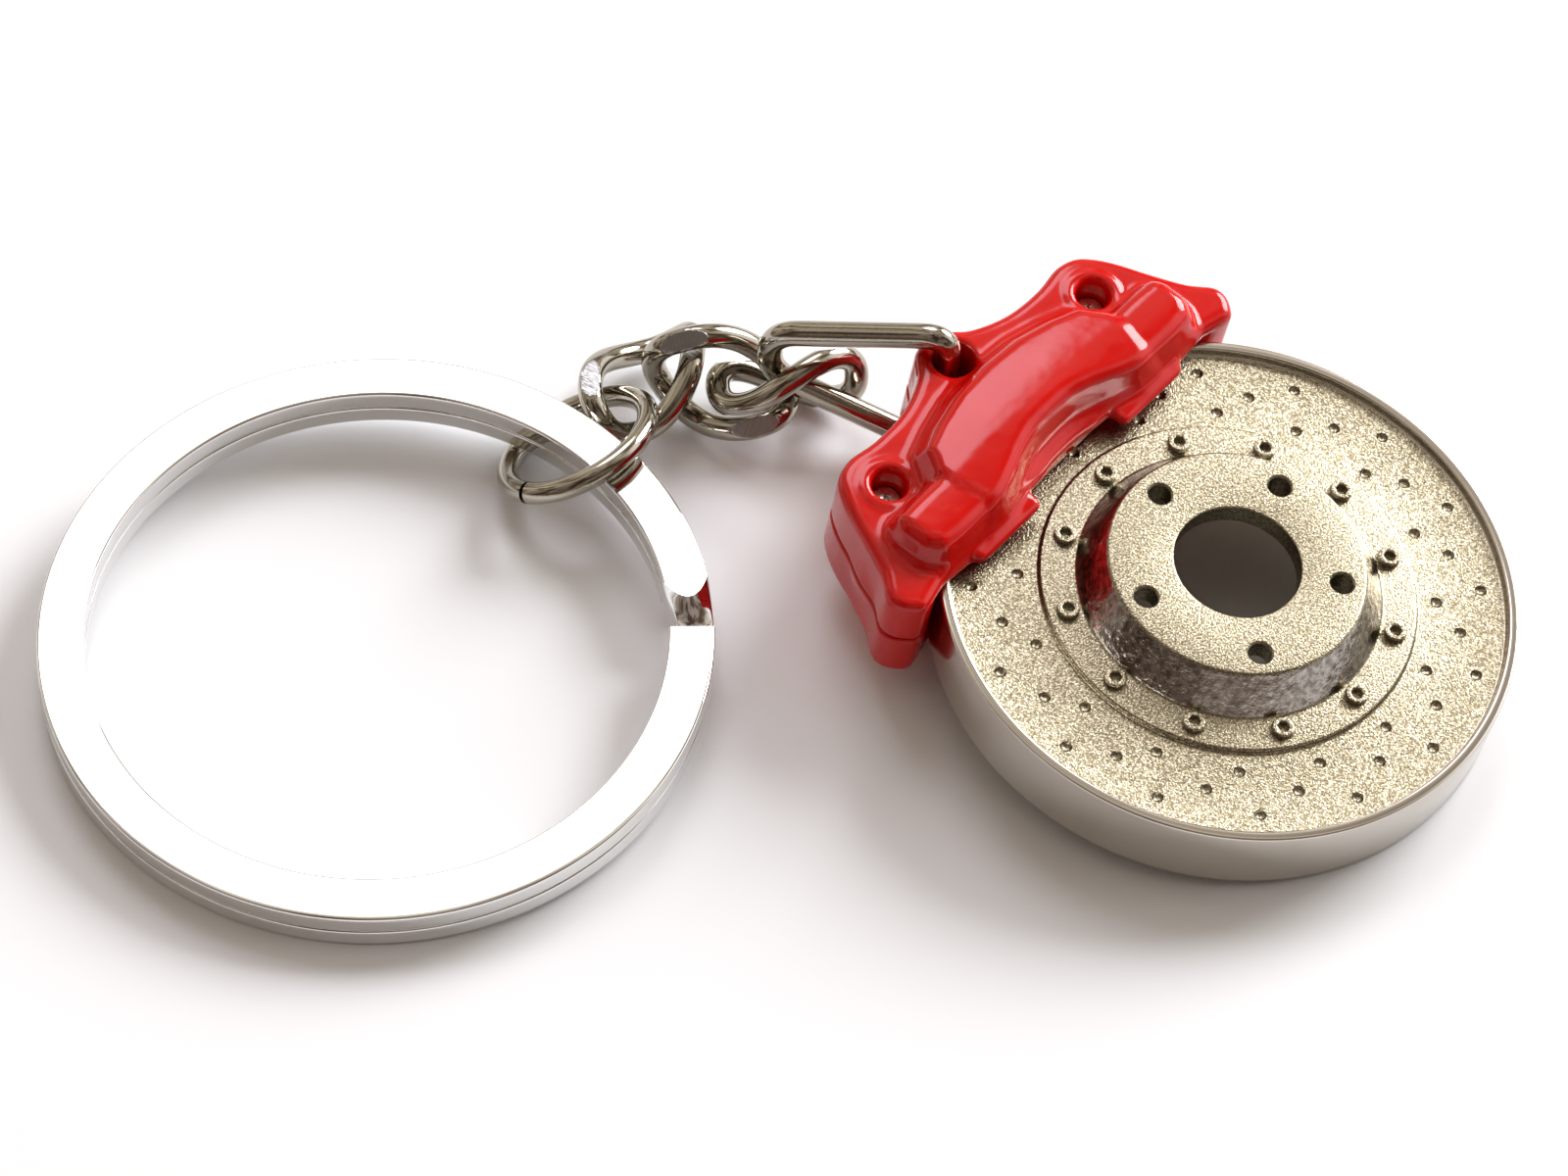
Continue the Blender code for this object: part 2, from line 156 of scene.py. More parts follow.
# The links' wire is a little thinner, so that they keep clear of each other at the joints' limits.
CHAIN_WIRE_R = 0.63
LINK_HALF_LENGTH = 3.56
LINK_HALF_WIDTH = 2.28
LINK_SQUARENESS = 0.8
LINK_TWIST = -48.7
LINK_FLAT_Z = 1.36
LINK_POSES = {
    "chain_link_1": ((11.55, 17.36, 2.44), (174.2, 1.1, 59.4)),
    "chain_link_2": ((15.49, 17.40, 2.69), (-134.8, 11.5, -10.7)),
    "chain_link_3": ((18.89, 17.63, 2.73), (126.6, -2.3, 11.6)),
}
JUMP_WIRE_R = 0.56
JUMP_HALF_LENGTH = 4.11
JUMP_HALF_WIDTH = 3.68
JUMP_POSE = ((8.65, 12.71, 2.49), (148.9, 6.4, 64.6))
JUMP_GAP_AT = 188.0
JUMP_GAP = 3.0
LONG_LINK_POSE = ((26.82, 15.46, 5.33), (0.1, 0.5, 167.4))
LONG_LINK_LENGTH = 9.13
LONG_LINK_END = 1.49
LONG_LINK_ABOVE = 4.64
LONG_LINK_BELOW = 4.25
LONG_LINK_BEND = 1.4

# Camera, in millimetres and degrees, and its focal length in pixels of a frame 1600 wide.
CAMERA_AT = Vector((-0.01, -148.63, 202.59))
CAMERA_PITCH = 53.14
CAMERA_ROLL = 4.68
FOCAL_PX = 5169.5
FRAME_W = 1600.0

# Studio: the radiance of the room and of its windows, where they are, and the angles over which they fade.
ROOM_NEAR = (0.20, 0.17, 0.155, 1)
ROOM_FAR = (0.62, 0.59, 0.53, 1)
ROOM_LOW = (0.36, 0.31, 0.28, 1)
WINDOW = (4.8, 4.7, 5.1, 1)
WINDOW_TOWARDS = (-0.14, 0.62, 0.77)
WINDOW_EDGE = (10, 16)
SIDE_WINDOW = (1.5, 1.5, 1.5, 1)
SIDE_TOWARDS = (0.85, 0.3, 0.45)
SIDE_EDGE = (10, 28)
CLUTTER_DARK = (0.36, 0.27, 0.20, 1)
CLUTTER_PALE = (1.55, 1.5, 1.42, 1)
BACKDROP = (0.97, 0.97, 0.975, 1)
KEY_AT = (0.62, 0.66, 0.52)
KEY_SIZE = 0.6
KEY_POWER = 12.8
KEY_COLOUR = (0.975, 0.985, 1.0)


# ---------------------------------------------------------------- mesh helpers


def polar(radius, degrees):
    angle = math.radians(degrees)
    return radius * math.cos(angle), radius * math.sin(angle)


def new_mesh(name, points, faces):
    """A mesh from points in millimetres, with its normals facing out."""
    mesh = bpy.data.meshes.new(name)
    mesh.from_pydata((np.asarray(points, float) * MM).tolist(), [], [tuple(face) for face in faces])
    work = bmesh.new()
    work.from_mesh(mesh)
    bmesh.ops.recalc_face_normals(work, faces=work.faces)
    work.to_mesh(mesh)
    work.free()
    return mesh


def smooth_shading(mesh, degrees):
    """Smooth shading, apart from edges that turn by more than the angle."""
    mesh.shade_smooth()
    mesh.set_sharp_from_angle(angle=math.radians(degrees))


def grid_faces(rows, columns, closed):
    """Quads of a grid of points stored row by row. Each row is a loop, and so is a closed grid's column."""
    faces = []
    for i in range(rows if closed else rows - 1):
        for j in range(columns):
            here, ahead = i * columns, (i + 1) % rows * columns
            k = (j + 1) % columns
            faces.append((here + j, ahead + j, ahead + k, here + k))
    return faces


def rounded(profile, radius, steps=4):
    """A closed outline with every corner rounded off by up to the radius."""
    outline = []
    for i, corner in enumerate(profile):
        corner = Vector(corner)
        before, after = Vector(profile[i - 1]) - corner, Vector(profile[(i + 1) % len(profile)]) - corner
        start = corner + before.normalized() * min(radius, before.length * 0.45)
        end = corner + after.normalized() * min(radius, after.length * 0.45)
        for step in range(steps + 1):
            t = step / steps
            outline.append(tuple((1 - t) ** 2 * start + 2 * t * (1 - t) * corner + t * t * end))
    return outline


def lathe(profile, steps):
    """Points and faces of a closed profile of (radius, height) turned about Z."""
    angles = np.arange(steps) * 2 * math.pi / steps
    r, z = np.array(profile).T
    points = np.stack(
        [np.outer(np.cos(angles), r), np.outer(np.sin(angles), r), np.tile(z, (steps, 1))], axis=-1
    ).reshape(-1, 3)
    return points, grid_faces(steps, len(profile), True)


def tube(path, radius, closed):
    """Points and faces of a round wire along the path, its section carried along without twisting."""
    path = np.asarray(path, float)
    ahead = np.roll(path, -1, 0) - np.roll(path, 1, 0)
    if not closed:
        ahead[0], ahead[-1] = path[1] - path[0], path[-1] - path[-2]
    ahead /= np.linalg.norm(ahead, axis=1)[:, None]
    side = np.cross(ahead[0], (0.3, 0.2, 0.9))
    frames = []
    for direction in ahead:
        side = side - direction * (side @ direction)
        side = side / np.linalg.norm(side)
        frames.append((side, np.cross(direction, side)))
    turn = 0.0
    if closed:
        first, last = frames[0], frames[-1]
        carried = last[0] - ahead[0] * (last[0] @ ahead[0])
        turn = math.atan2(carried @ first[1], carried @ first[0])
    points = []
    for i, (at, (u, v)) in enumerate(zip(path, frames)):
        angles = np.arange(WIRE_SIDES) * 2 * math.pi / WIRE_SIDES - turn * i / len(path)
        points.append(at + radius * (np.cos(angles)[:, None] * u + np.sin(angles)[:, None] * v))
    points = np.concatenate(points)
    faces = grid_faces(len(path), WIRE_SIDES, closed)
    if not closed:
        faces += [tuple(range(WIRE_SIDES)), tuple(range(len(points) - WIRE_SIDES, len(points)))]
    return points, faces


def cut(mesh, cutters):
    """The mesh with closed cutter meshes taken out of it."""
    obj = bpy.data.objects.new("cut", mesh)
    tool_mesh = bpy.data.meshes.new("tool")
    work = bmesh.new()
    for cutter in cutters:
        work.from_mesh(cutter)
        bpy.data.meshes.remove(cutter)
    work.to_mesh(tool_mesh)
    work.free()
    tool = bpy.data.objects.new("tool", tool_mesh)
    for made in (obj, tool):
        bpy.context.scene.collection.objects.link(made)
    modifier = obj.modifiers.new("cut", "BOOLEAN")
    modifier.operation = "DIFFERENCE"
    modifier.solver = "MANIFOLD"
    modifier.object = tool
    graph = bpy.context.evaluated_depsgraph_get()
    result = bpy.data.meshes.new_from_object(obj.evaluated_get(graph))
    for made in (obj, tool):
        bpy.data.objects.remove(made, do_unlink=True)
    return result


def joined(name, meshes):
    mesh = bpy.data.meshes.new(name)
    work = bmesh.new()
    for part in meshes:
        work.from_mesh(part)
    work.to_mesh(mesh)
    work.free()
    return mesh


def piece(name, mesh, matrix, body, node, material):
    """A finished piece: in place, riding its body and standing for its CAD node.
    Its materials read the local place of each point, in millimetres, from the "local" attribute."""
    local = np.empty(len(mesh.vertices) * 3, np.float32)
    mesh.vertices.foreach_get("co", local)
    mesh.attributes.new("local", "FLOAT_VECTOR", "POINT").data.foreach_set("vector", local / MM)
    mesh.transform(matrix)
    mesh.materials.clear()
    mesh.materials.append(material)
    obj = bpy.data.objects.new(name, mesh)
    bpy.context.scene.collection.objects.link(obj)
    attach(obj, body)
    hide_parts(node)
    return obj


# ---------------------------------------------------------------- where the groups lie


def shift(at):
    return Matrix.Translation(Vector(at) * MM)


def joint(name):
    return next(j for j in frame["joints"] if j["name"] == name)


def lean_matrix(towards, degrees):
    """A turn that lifts whatever lies in the given direction."""
    x, y = polar(1, towards)
    return Matrix.Rotation(math.radians(degrees), 4, Vector((y, -x, 0)))


def disc_place():
    spin = joint("disc_spin")
    lean = math.degrees(math.acos(Vector(spin["axis"]).normalized().z))
    return Matrix.Translation(Vector(spin["pos_m"])) @ lean_matrix(CALIPER_ANGLE, lean)


def caliper_place():
    return disc_place() @ Matrix.Rotation(math.radians(CALIPER_ANGLE - 90), 4, "Z")


def ring_place():
    height = RING_OUT * math.sin(math.radians(RING_LEAN))
    return shift((-BASE.x, -BASE.y, height)) @ lean_matrix(RING_LEAN_TOWARDS, RING_LEAN)


def chain_place(at, turn):
    turned = Euler([math.radians(angle) for angle in turn], "XYZ").to_matrix().to_4x4()
    return shift(Vector(at) - BASE) @ turned


# ---------------------------------------------------------------- materials


class Nodes:
    """Short names for building a material's node tree."""

    def __init__(self, name):
        self.material = bpy.data.materials.new(name)
        self.material.use_nodes = True
        self.tree = self.material.node_tree
        self.shader = self.tree.nodes["Principled BSDF"]
        self.place = self.add("ShaderNodeAttribute", attribute_name="local").outputs["Vector"]

    def add(self, kind, **settings):
        node = self.tree.nodes.new(kind)
        for key, value in settings.items():
            setattr(node, key, value)
        return node

    def feed(self, socket, value):
        if isinstance(value, bpy.types.NodeSocket):
            self.tree.links.new(value, socket)
        else:
            socket.default_value = value

    def math(self, operation, a, b=0.0):
        node = self.add("ShaderNodeMath", operation=operation)
        self.feed(node.inputs[0], a)
        self.feed(node.inputs[1], b)
        return node.outputs[0]

    def ramp(self, value, low, high, start=0.0, end=1.0):
        node = self.add("ShaderNodeMapRange", interpolation_type="SMOOTHSTEP")
        for socket, given in zip(node.inputs, (value, low, high, start, end)):
            self.feed(socket, given)
        return node.outputs[0]

    def noise(self, per_mm, detail=3.0, roughness=0.55, place=None):
        node = self.add("ShaderNodeTexNoise")
        self.feed(node.inputs["Vector"], place or self.place)
        node.inputs["Scale"].default_value = per_mm
        node.inputs["Detail"].default_value = detail
        node.inputs["Roughness"].default_value = roughness
        return node.outputs["Fac"]

    def stretched(self, scale):
        node = self.add("ShaderNodeMapping")
        self.feed(node.inputs["Vector"], self.place)
        node.inputs["Scale"].default_value = scale
        return node.outputs[0]

    def mix(self, share, a, b):
        node = self.add("ShaderNodeMix", data_type="RGBA")
        self.feed(node.inputs["Factor"], share)
        self.feed(node.inputs["A"], a)
        self.feed(node.inputs["B"], b)
        return node.outputs["Result"]

    def bump(self, height_mm):
        """Bump from a height in millimetres."""
        node = self.add("ShaderNodeBump")
        node.inputs["Distance"].default_value = MM
        node.inputs["Strength"].default_value = 1.0
        self.feed(node.inputs["Height"], height_mm)
        return node.outputs[0]

    def parts(self):
        """The local x, y and z, in millimetres."""
        node = self.add("ShaderNodeSeparateXYZ")
        self.feed(node.inputs[0], self.place)
        return tuple(node.outputs)

    def radius(self):
        """Distance from the local Z axis, in millimetres."""
        flat = self.add("ShaderNodeCombineXYZ")
        for socket, part in zip(flat.inputs, self.parts()[:2]):
            self.feed(socket, part)
        length = self.add("ShaderNodeVectorMath", operation="LENGTH")
        self.feed(length.inputs[0], flat.outputs[0])
        return length.outputs["Value"]


def nickel_casting():
    """Nickel-plated zinc: grainy on the faces, smooth on the rim, dark and wavy on the hat's side."""
    n = Nodes("nickel_casting")
    r = n.radius()
    face = n.ramp(r, DISC_R - RIM_LIP_W - 0.05, DISC_R - RIM_LIP_W - 0.2)
    past_top = n.ramp(r, HAT_TOP_R + 0.02, HAT_TOP_R + 0.12)
    cone = n.math("MULTIPLY", past_top, n.ramp(r, HAT_BASE_R, HAT_BASE_R - 0.1))
    grain_share = n.math("MULTIPLY", face, n.math("SUBTRACT", 1.0, n.math("MULTIPLY", cone, 0.85)))
    grain = n.noise(10.0, detail=2.0, roughness=0.5)
    stipple = n.ramp(n.noise(9.0, detail=2.0), 0.38, 0.62)
    tone = n.mix(stipple, (0.23, 0.19, 0.12, 1), (0.47, 0.428, 0.318, 1))
    plain = n.mix(n.noise(0.25), (0.60, 0.56, 0.50, 1), (0.70, 0.665, 0.61, 1))
    mottle = n.ramp(n.noise(3.0, detail=4.0), 0.35, 0.65)
    side = n.mix(mottle, (0.24, 0.21, 0.185, 1), (0.48, 0.46, 0.43, 1))
    colour = n.mix(face, plain, tone)
    n.feed(n.shader.inputs["Base Color"], n.mix(cone, colour, side))
    n.shader.inputs["Metallic"].default_value = 1.0
    n.feed(n.shader.inputs["Roughness"], n.ramp(grain_share, 0.0, 1.0, 0.16, 0.22))
    height = n.math("MULTIPLY", n.math("MULTIPLY", grain, 0.034), grain_share)
    waves = n.math("MULTIPLY", n.math("MULTIPLY", n.noise(1.8, detail=3.0), 0.05), cone)
    n.feed(n.shader.inputs["Normal"], n.bump(n.math("ADD", height, waves)))
    return n.material


def red_paint():
    """Glossy enamel with a faint orange peel and a few specks."""
    n = Nodes("red_paint")
    tone = n.mix(n.noise(0.35, detail=4.0), (0.50, 0.002, 0.002, 1), (0.66, 0.006, 0.004, 1))
    specks = n.ramp(n.noise(2.2, detail=1.0), 0.8, 0.84)
    n.feed(n.shader.inputs["Base Color"], n.mix(specks, tone, (0.25, 0.01, 0.01, 1)))
    n.feed(n.shader.inputs["Roughness"], n.ramp(n.noise(0.8), 0.3, 0.7, 0.09, 0.15))
    n.shader.inputs["Specular IOR Level"].default_value = 0.42
    n.feed(n.shader.inputs["Normal"], n.bump(n.math("MULTIPLY", n.noise(0.55, detail=2.0), 0.03)))
    return n.material


def plated_wire(name, flats):
    """Nickel-plated wire, a little uneven, and scratched where it is ground flat."""
    n = Nodes(name)
    tone = n.mix(n.noise(0.5, detail=4.0), (0.34, 0.31, 0.25, 1), (0.50, 0.47, 0.40, 1))
    marks = n.noise(2.0, detail=3.0)
    n.shader.inputs["Metallic"].default_value = 1.0
    if flats:
        height = n.math("ABSOLUTE", n.parts()[2])
        rubbed = n.ramp(height, LINK_FLAT_Z - 0.02, LINK_FLAT_Z - 0.005)
        lines = n.noise(1.0, detail=2.0, place=n.stretched((9.0, 1.2, 1.0)))
        n.feed(n.shader.inputs["Base Color"], n.mix(rubbed, tone, (0.46, 0.46, 0.46, 1)))
        n.feed(n.shader.inputs["Roughness"], n.ramp(rubbed, 0.0, 1.0, 0.1, 0.3))
        scratch = n.math("MULTIPLY", n.math("MULTIPLY", lines, rubbed), 0.06)
        relief = n.math("ADD", n.math("MULTIPLY", marks, 0.004), scratch)
    else:
        n.feed(n.shader.inputs["Base Color"], tone)
        n.feed(n.shader.inputs["Roughness"], n.ramp(marks, 0.3, 0.7, 0.07, 0.13))
        relief = n.math("MULTIPLY", marks, 0.006)
    n.feed(n.shader.inputs["Normal"], n.bump(relief))
    return n.material


def polished_steel():
    """Mirror-polished strip, faintly wavy, with streaks that dull its gloss a little."""
    n = Nodes("polished_steel")
    streaks = n.noise(1.0, detail=2.0, place=n.stretched((3.0, 0.25, 1.0)))
    tone = n.mix(n.noise(0.2), (0.80, 0.795, 0.785, 1), (0.88, 0.88, 0.875, 1))
    n.feed(n.shader.inputs["Base Color"], tone)
    n.shader.inputs["Metallic"].default_value = 1.0
    n.feed(n.shader.inputs["Roughness"], n.ramp(streaks, 0.3, 0.7, 0.05, 0.1))
    n.feed(n.shader.inputs["Normal"], n.bump(n.math("MULTIPLY", n.noise(0.12), 0.02)))
    return n.material


def zinc_screw():
    n = Nodes("zinc_screw")
    tone = n.mix(n.noise(1.6, detail=4.0), (0.74, 0.72, 0.68, 1), (0.90, 0.89, 0.86, 1))
    n.feed(n.shader.inputs["Base Color"], tone)
    n.shader.inputs["Metallic"].default_value = 1.0
    n.feed(n.shader.inputs["Roughness"], n.ramp(n.noise(3.0), 0.3, 0.7, 0.22, 0.4))
    n.feed(n.shader.inputs["Normal"], n.bump(n.math("MULTIPLY", n.noise(3.0), 0.02)))
    return n.material


# ---------------------------------------------------------------- brake disc


def disc_body_profile():
    """Half section of the disc: hub hole, hat, step, recessed face, raised rim and hollow back."""
    lip = DISC_R - RIM_LIP_W
    front = [
        (CENTRE_HOLE_R, HAT_TOP_Z), (HAT_TOP_R, HAT_TOP_Z), (HAT_BASE_R, STEP_Z), (STEP_R, STEP_Z),
        (STEP_R + 0.06, FACE_Z), (lip - 0.08, FACE_Z), (lip, DISC_HALF), (DISC_R, DISC_HALF),
    ]
    back = [
        (DISC_R, -DISC_HALF), (lip, -DISC_HALF), (lip - 0.08, -FACE_Z), (STEP_R + 0.06, -FACE_Z),
        (STEP_R, -STEP_Z), (HAT_TOP_R, -STEP_Z), (HAT_TOP_R, 0.8), (HAT_TOP_R - 1.1, HAT_FLOOR_Z),
        (CENTRE_HOLE_R, HAT_FLOOR_Z),
    ]
    return rounded(front + back, 0.13, 4)


def dimple_spots():
    for group in range(DIMPLE_GROUPS):
        for radius, angle in DIMPLE_GROUP:
            yield polar(radius, DIMPLE_PHASE + 360 * group / DIMPLE_GROUPS + angle)


def ball_cutter(x, y, z, radius):
    work = bmesh.new()
    bmesh.ops.create_uvsphere(work, u_segments=16, v_segments=10, radius=radius * MM)
    bmesh.ops.translate(work, verts=work.verts, vec=Vector((x, y, z)) * MM)
    mesh = bpy.data.meshes.new("ball")
    work.to_mesh(mesh)
    work.free()
    return mesh


def lug_cutter(x, y):
    """A lug hole through the hat, countersunk a little at its mouth."""
    mouth = LUG_R + 0.1
    low, high = HAT_FLOOR_Z - 0.7, HAT_TOP_Z + 0.6
    profile = [
        (0.001, low), (LUG_R, low), (LUG_R, HAT_TOP_Z - 0.1), (mouth, HAT_TOP_Z),
        (mouth, high), (0.001, high),
    ]
    points, faces = lathe(profile, 32)
    return new_mesh("lug", points + np.array((x, y, 0)), faces)


def rivet_mesh(side):
    """A collar with a soft top edge round a hex socket, standing on the step."""
    foot, top = STEP_Z - 0.1, RIVET_TOP_Z
    collar = rounded([(0.3, foot), (RIVET_R + 0.03, foot), (RIVET_R, top), (0.3, top)], 0.09, 4)
    points, faces = lathe(collar, 32)
    points = np.array(points)
    wall = np.hypot(points[:, 0], points[:, 1]) < 0.42
    angle = np.arctan2(points[:, 1], points[:, 0])
    hex_r = RIVET_SOCKET_R / np.cos((angle % (math.pi / 3)) - math.pi / 6)
    scale = np.where(wall, hex_r / 0.3, 1.0)
    points[:, 0] *= scale
    points[:, 1] *= scale
    points[:, 2] *= side
    return points, faces


def brake_disc(material):
    points, faces = lathe(disc_body_profile(), DISC_STEPS)
    body = new_mesh("brake_disc", points, faces)
    depth = DIMPLE_DEPTH
    ball = (DIMPLE_R**2 + depth**2) / (2 * depth)
    cutters = []
    for x, y in dimple_spots():
        for side in (1, -1):
            cutters.append(ball_cutter(x, y, side * (FACE_Z - depth + ball), ball))
    for i in range(LUG_COUNT):
        x, y = polar(LUG_CIRCLE_R, LUG_PHASE + 360 * i / LUG_COUNT)
        cutters.append(lug_cutter(x, y))
    body = cut(body, cutters)
    meshes = [body]
    for i in range(RIVET_COUNT):
        x, y = polar(RIVET_CIRCLE_R, RIVET_PHASE + 360 * i / RIVET_COUNT)
        for side in (1, -1):
            points, faces = rivet_mesh(side)
            meshes.append(new_mesh("rivet", points + np.array((x, y, 0)), faces))
    mesh = joined("brake_disc_piece", meshes)
    smooth_shading(mesh, 35)
    return piece("brake_disc_piece", mesh, disc_place(), "disc", "brake_disc", material)


# ---------------------------------------------------------------- caliper, as a smooth field


def smooth_outline(corners, per_span):
    """A closed Catmull-Rom curve through the corners."""
    outline = []
    for i in range(len(corners)):
        a, b, c, d = (Vector(corners[(i + k - 1) % len(corners)]) for k in range(4))
        for step in range(per_span):
            t = step / per_span
            outline.append(
                0.5 * ((2 * b) + (c - a) * t + (2 * a - 5 * b + 4 * c - d) * t**2
                       + (3 * b - a - 3 * c + d) * t**3)
            )
    return [tuple(point) for point in outline]


def mirrored(half):
    return half + [(-x, y) for x, y in reversed(half) if x > 0]


PLATE_OUTLINE = smooth_outline(mirrored([
    (0.0, 19.65), (0.9, 19.5), (1.5, 18.95), (2.1, 18.45), (3.4, 17.9), (4.8, 17.6), (6.6, 17.55),
    (8.2, 17.75), (9.3, 17.5), (10.0, 16.9), (10.7, 15.8), (11.5, 14.0), (12.3, 12.4), (13.15, 11.3),
    (13.2, 10.5), (12.75, 9.8), (12.2, 9.5), (11.0, 9.75), (9.5, 10.1), (8.5, 10.15), (7.9, 10.2),
    (6.6, 10.2), (5.2, 10.2), (3.9, 10.25), (3.1, 10.3), (2.2, 10.3), (1.1, 10.45), (0.0, 10.5),
]), 4)
TAB_OUTLINE = rounded([(3.25, 10.9), (8.2, 10.9), (8.2, 9.3), (3.25, 9.3)], 0.5, 6)
# The ridge's inner wall, and how far the dome may reach: no further in than that wall.
INNER_WALL = [(8.6, 10.0), (5.4, 10.05), (4.2, 10.4), (2.7, 10.95), (1.4, 11.3), (0.0, 11.35)]
BAR_OUTLINE = rounded(mirrored([
    (0.0, 14.0), (8.9, 13.95), (10.35, 13.85), (10.95, 12.95), (10.9, 11.2), (10.1, 10.15), *INNER_WALL,
]), 0.5, 4)
RIDGE_REACH = rounded(mirrored([(0.0, 18.0), (12.0, 18.0), (12.0, 10.0), *INNER_WALL]), 0.5, 4)
DOME_OUTLINE = rounded(mirrored([
    (0.0, 16.8), (2.45, 16.65), (4.6, 16.15), (6.45, 15.5), (7.6, 13.9), (7.6, 12.2), (6.6, 9.0),
    (0.0, 9.0),
]), 0.3, 3)


def outline_distance(x, y, outline):
    """Signed distance to a closed outline, negative inside it."""
    best = np.full(np.broadcast(x, y).shape, 1e9)
    inside = np.zeros(best.shape, bool)
    corners = np.array(outline)
    for (ax, ay), (bx, by) in zip(corners, np.roll(corners, -1, 0)):
        dx, dy = bx - ax, by - ay
        t = np.clip(((x - ax) * dx + (y - ay) * dy) / (dx * dx + dy * dy), 0, 1)
        best = np.minimum(best, (x - ax - t * dx) ** 2 + (y - ay - t * dy) ** 2)
        crosses = (ay > y) != (by > y)
        if dy:
            inside ^= crosses & (x < ax + (y - ay) * dx / dy)
    return np.where(inside, -1, 1) * np.sqrt(best)


def blend_min(a, b, width):
    """The union of two fields, with a fillet of about the width where they meet."""
    near = np.maximum(width - np.abs(a - b), 0) / width
    return np.minimum(a, b) - near * near * width / 4


def blend_max(a, b, width):
    """The overlap of two fields, with a rounded edge of about the width."""
    return -blend_min(-a, -b, width)


def sloped(distance, above, slope):
    """A wall that rises from an outline at plate level and leans in as it rises."""
    return distance * slope[0] + above * slope[1]


def caliper_field(x, y, z, front):
    """Field of one casting, negative inside, for heights counted from the parting line outwards."""
    above = z - PLATE_TOP
    plate = blend_max(outline_distance(x, y, PLATE_OUTLINE), above, PLATE_EDGE)
    tab = blend_max(outline_distance(np.abs(x), y, TAB_OUTLINE), above + TAB_DROP, TAB_EDGE)
    bar = sloped(outline_distance(x, y, BAR_OUTLINE), above, WALL_SLOPE)
    bar = blend_max(bar, z - BAR_TOP + BAR_CROWN * (y - BAR_CROWN_Y) ** 2, BAR_EDGE)
    dome = sloped(outline_distance(x, y, DOME_OUTLINE), above, DOME_SLOPE)
    crown = RIDGE_TOP - RIDGE_CROWN[0] * x * x - RIDGE_CROWN[1] * (y - RIDGE_CROWN_Y) ** 2
    dome = blend_max(dome, z - crown, DOME_EDGE)
    dome = blend_max(dome, sloped(outline_distance(x, y, RIDGE_REACH), above, WALL_SLOPE), RIDGE_FILLET)
    ridge = blend_min(bar, dome, DOME_EDGE)
    body = blend_min(plate, tab, 0.12)
    body = blend_min(body, ridge, RIDGE_FILLET)
    radius = np.sqrt(x * x + y * y)
    slot = np.maximum(radius - SLOT_R, z - SLOT_Z)
    body = blend_max(body, -slot, SLOT_EDGE)
    pad = np.maximum(radius - PAD_OUTER_R, PAD_INNER_Y - y)
    pad = np.maximum(pad, np.maximum(np.abs(x) - PAD_HALF_WIDTH, PAD_Z - z))
    body = np.minimum(body, np.maximum(pad, z - SLOT_Z - 0.2))
    hole = np.hypot(x, y - NECK_Y) - NECK_HOLE_R
    body = blend_max(body, -hole, HOLE_EDGE)
    screw = np.hypot(np.abs(x) - SCREW_X, y - SCREW_Y)
    if front:
        lip = np.hypot(screw - COUNTERBORE_R - LIP_OUT, above + LIP_SINK) - LIP_RADIUS
        body = blend_min(body, lip, LIP_FILLET)
        bore = np.maximum(screw - COUNTERBORE_R, COUNTERBORE_FLOOR - z)
        body = blend_max(body, -np.minimum(bore, screw - SCREW_HOLE_R), HOLE_EDGE)
    else:
        body = blend_max(body, -np.maximum(screw - SCREW_HOLE_R, z - SCREW_HOLE_DEPTH), 0.05)
    return blend_max(body, PARTING_GAP / 2 - z, PARTING_EDGE)


def net_surface(field, low, step):
    """A quad mesh of where the field crosses zero: one point in each crossed cell."""
    corners = [(i, j, k) for i in (0, 1) for j in (0, 1) for k in (0, 1)]
    cells = [field[i : field.shape[0] - 1 + i, j : field.shape[1] - 1 + j, k : field.shape[2] - 1 + k]
             for i, j, k in corners]
    signs = sum((cell < 0).astype(int) for cell in cells)
    crossed = np.nonzero((signs > 0) & (signs < 8))
    number = np.full(signs.shape, -1)
    number[crossed] = np.arange(len(crossed[0]))
    total = np.zeros((len(crossed[0]), 3))
    count = np.zeros(len(total))
    values = [cell[crossed] for cell in cells]
    for a, first in enumerate(corners):
        for b, second in enumerate(corners):
            if b <= a or sum(abs(p - q) for p, q in zip(first, second)) != 1:
                continue
            across = (values[a] < 0) != (values[b] < 0)
            share = values[a] / np.where(across, values[a] - values[b], 1.0)
            at = np.array(first) + share[:, None] * (np.array(second) - np.array(first))
            total += at * across[:, None]
            count += across
    points = (np.stack(crossed, -1) + total / count[:, None]) * step + low
    faces = []
    inside = field < 0
    for axis in range(3):
        u, v = (axis + 1) % 3, (axis + 2) % 3
        here = np.moveaxis(inside, (axis, u, v), (0, 1, 2))
        cell = np.moveaxis(number, (axis, u, v), (0, 1, 2))
        a, b = here[:-1, 1:-1, 1:-1], here[1:, 1:-1, 1:-1]
        quads = [cell[:, 1:, 1:], cell[:, :-1, 1:], cell[:, :-1, :-1], cell[:, 1:, :-1]]
        for change, order in ((a & ~b, (0, 1, 2, 3)), (~a & b, (3, 2, 1, 0))):
            faces.append(np.stack([quads[q][change] for q in order], -1))
    return points, np.concatenate(faces)


